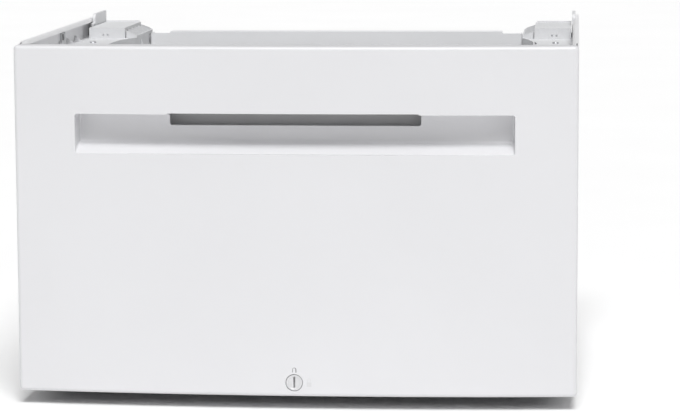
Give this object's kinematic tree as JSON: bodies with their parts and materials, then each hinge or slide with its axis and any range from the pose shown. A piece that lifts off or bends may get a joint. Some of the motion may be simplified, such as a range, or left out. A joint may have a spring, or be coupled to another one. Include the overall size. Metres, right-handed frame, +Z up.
{
  "type": "laundry pedestal with drawer",
  "caption": "Steel laundry plinth with a full-width lockable drawer behind a bowed front with a long handle recess; the appliance stands on pads beside the open top.",
  "frame": {"origin": "on the floor under the middle of the pedestal's outline, feet screwed fully in", "axes": "+Z up, +X to the right seen from the front, the drawer opens towards -Y"},
  "size_m": [0.598, 0.55, 0.3935],
  "materials": {
    "panel_white": "smooth white, low sheen",
    "wall_white": "white stove enamel",
    "light_plastic": "fine grained moulding, light grey",
    "pocket_plastic": "grained moulding, grey",
    "coated_steel": "light grey powder coat",
    "galvanised": "galvanised sheet",
    "runner_steel": "bright zinc plated",
    "cage_steel": "yellow passivated",
    "zinc": "zinc plated",
    "lock_metal": "satin, light",
    "black_rubber": "matt black"
  },
  "bodies": {
    "housing": {"side_wall_left": "wall_white", "side_wall_right": "wall_white", "rear_panel": "coated_steel", "front_cross_member": "galvanised", "rear_cross_member": "galvanised", "upper_front_bar": "coated_steel", "upper_rear_beam": "coated_steel", "foot_rail_left": "light_plastic", "foot_rail_right": "light_plastic", "support_rail_left": "galvanised", "support_rail_right": "galvanised", "guide_tab_left": "light_plastic", "guide_tab_right": "light_plastic", "foot_bracket_front_left": "galvanised", "foot_bracket_front_right": "galvanised", "foot_bracket_rear_left": "galvanised", "foot_bracket_rear_right": "galvanised", "runner_carrier_left": "galvanised", "runner_carrier_right": "galvanised", "runner_outer_left": "runner_steel", "runner_outer_right": "runner_steel", "lock_strike_plate": "galvanised", "foot_lock_nuts": "zinc", "wall_clips": "light_plastic", "housing_screws": "zinc", "front_buffers": "black_rubber"},
    "drawer": {"front_panel": "panel_white", "handle_recess": "panel_white", "grip_pocket": "pocket_plastic", "drawer_front_plate": "coated_steel", "drawer_side_left": "coated_steel", "drawer_side_right": "coated_steel", "drawer_bottom": "coated_steel", "drawer_back": "coated_steel", "runner_inner_left": "runner_steel", "runner_inner_right": "runner_steel", "lock_housing": "lock_metal", "lock_ring_nut": "zinc", "panel_screws": "zinc", "drawer_screws": "zinc"},
    "lock": {"lock_barrel": "lock_metal", "lock_cam": "zinc", "lock_cam_screw": "zinc"},
    "middle_runner_left": {"runner_middle_left": "runner_steel"},
    "outer_cage_left": {"ball_cage_outer_left": "cage_steel"},
    "inner_cage_left": {"ball_cage_inner_left": "cage_steel"},
    "middle_runner_right": {"runner_middle_right": "runner_steel"},
    "outer_cage_right": {"ball_cage_outer_right": "cage_steel"},
    "inner_cage_right": {"ball_cage_inner_right": "cage_steel"},
    "foot_sole_front_left": {"foot_pad_front_left": "black_rubber"},
    "foot_screw_front_left": {"foot_stud_front_left": "zinc"},
    "foot_sole_front_right": {"foot_pad_front_right": "black_rubber"},
    "foot_screw_front_right": {"foot_stud_front_right": "zinc"},
    "foot_sole_rear_left": {"foot_pad_rear_left": "black_rubber"},
    "foot_screw_rear_left": {"foot_stud_rear_left": "zinc"},
    "foot_sole_rear_right": {"foot_pad_rear_right": "black_rubber"},
    "foot_screw_rear_right": {"foot_stud_rear_right": "zinc"}
  },
  "joints": [
    {"name": "drawer_slide", "type": "slide", "parent": "housing", "child": "drawer", "axis": [0, -1, 0], "range_m": [0, 0.42]},
    {"name": "lock_turn", "type": "hinge", "parent": "drawer", "child": "lock", "pos_m": [0, -0.25, 0.0299], "axis": [0, 1, 0], "range_deg": [0, 90]},
    {"name": "middle_runner_left_slide", "type": "slide", "parent": "housing", "child": "middle_runner_left", "axis": [0, -1, 0], "range_m": [0, 0.21]},
    {"name": "outer_cage_left_slide", "type": "slide", "parent": "housing", "child": "outer_cage_left", "axis": [0, -1, 0], "range_m": [0, 0.105]},
    {"name": "inner_cage_left_slide", "type": "slide", "parent": "housing", "child": "inner_cage_left", "axis": [0, -1, 0], "range_m": [0, 0.315]},
    {"name": "middle_runner_right_slide", "type": "slide", "parent": "housing", "child": "middle_runner_right", "axis": [0, -1, 0], "range_m": [0, 0.21]},
    {"name": "outer_cage_right_slide", "type": "slide", "parent": "housing", "child": "outer_cage_right", "axis": [0, -1, 0], "range_m": [0, 0.105]},
    {"name": "inner_cage_right_slide", "type": "slide", "parent": "housing", "child": "inner_cage_right", "axis": [0, -1, 0], "range_m": [0, 0.315]},
    {"name": "foot_front_left_height", "type": "slide", "parent": "housing", "child": "foot_sole_front_left", "axis": [0, 0, -1], "range_m": [0, 0.012]},
    {"name": "foot_front_left_turn", "type": "hinge", "parent": "foot_sole_front_left", "child": "foot_screw_front_left", "pos_m": [-0.262, -0.16, 0.012], "axis": [0, 0, -1], "range_deg": [0, 2880]},
    {"name": "foot_front_right_height", "type": "slide", "parent": "housing", "child": "foot_sole_front_right", "axis": [0, 0, -1], "range_m": [0, 0.012]},
    {"name": "foot_front_right_turn", "type": "hinge", "parent": "foot_sole_front_right", "child": "foot_screw_front_right", "pos_m": [0.262, -0.16, 0.012], "axis": [0, 0, -1], "range_deg": [0, 2880]},
    {"name": "foot_rear_left_height", "type": "slide", "parent": "housing", "child": "foot_sole_rear_left", "axis": [0, 0, -1], "range_m": [0, 0.012]},
    {"name": "foot_rear_left_turn", "type": "hinge", "parent": "foot_sole_rear_left", "child": "foot_screw_rear_left", "pos_m": [-0.262, 0.238, 0.012], "axis": [0, 0, -1], "range_deg": [0, 2880]},
    {"name": "foot_rear_right_height", "type": "slide", "parent": "housing", "child": "foot_sole_rear_right", "axis": [0, 0, -1], "range_m": [0, 0.012]},
    {"name": "foot_rear_right_turn", "type": "hinge", "parent": "foot_sole_rear_right", "child": "foot_screw_rear_right", "pos_m": [0.262, 0.238, 0.012], "axis": [0, 0, -1], "range_deg": [0, 2880]}
  ],
  "couplings": [
    {"joint": "middle_runner_left_slide", "follows": "drawer_slide", "ratio": 0.5},
    {"joint": "outer_cage_left_slide", "follows": "drawer_slide", "ratio": 0.25},
    {"joint": "inner_cage_left_slide", "follows": "drawer_slide", "ratio": 0.75},
    {"joint": "middle_runner_right_slide", "follows": "drawer_slide", "ratio": 0.5},
    {"joint": "outer_cage_right_slide", "follows": "drawer_slide", "ratio": 0.25},
    {"joint": "inner_cage_right_slide", "follows": "drawer_slide", "ratio": 0.75},
    {"joint": "foot_front_left_turn", "follows": "foot_front_left_height", "rad_per_m": 4188.7},
    {"joint": "foot_front_right_turn", "follows": "foot_front_right_height", "rad_per_m": 4188.7},
    {"joint": "foot_rear_left_turn", "follows": "foot_rear_left_height", "rad_per_m": 4188.7},
    {"joint": "foot_rear_right_turn", "follows": "foot_rear_right_height", "rad_per_m": 4188.7}
  ]
}
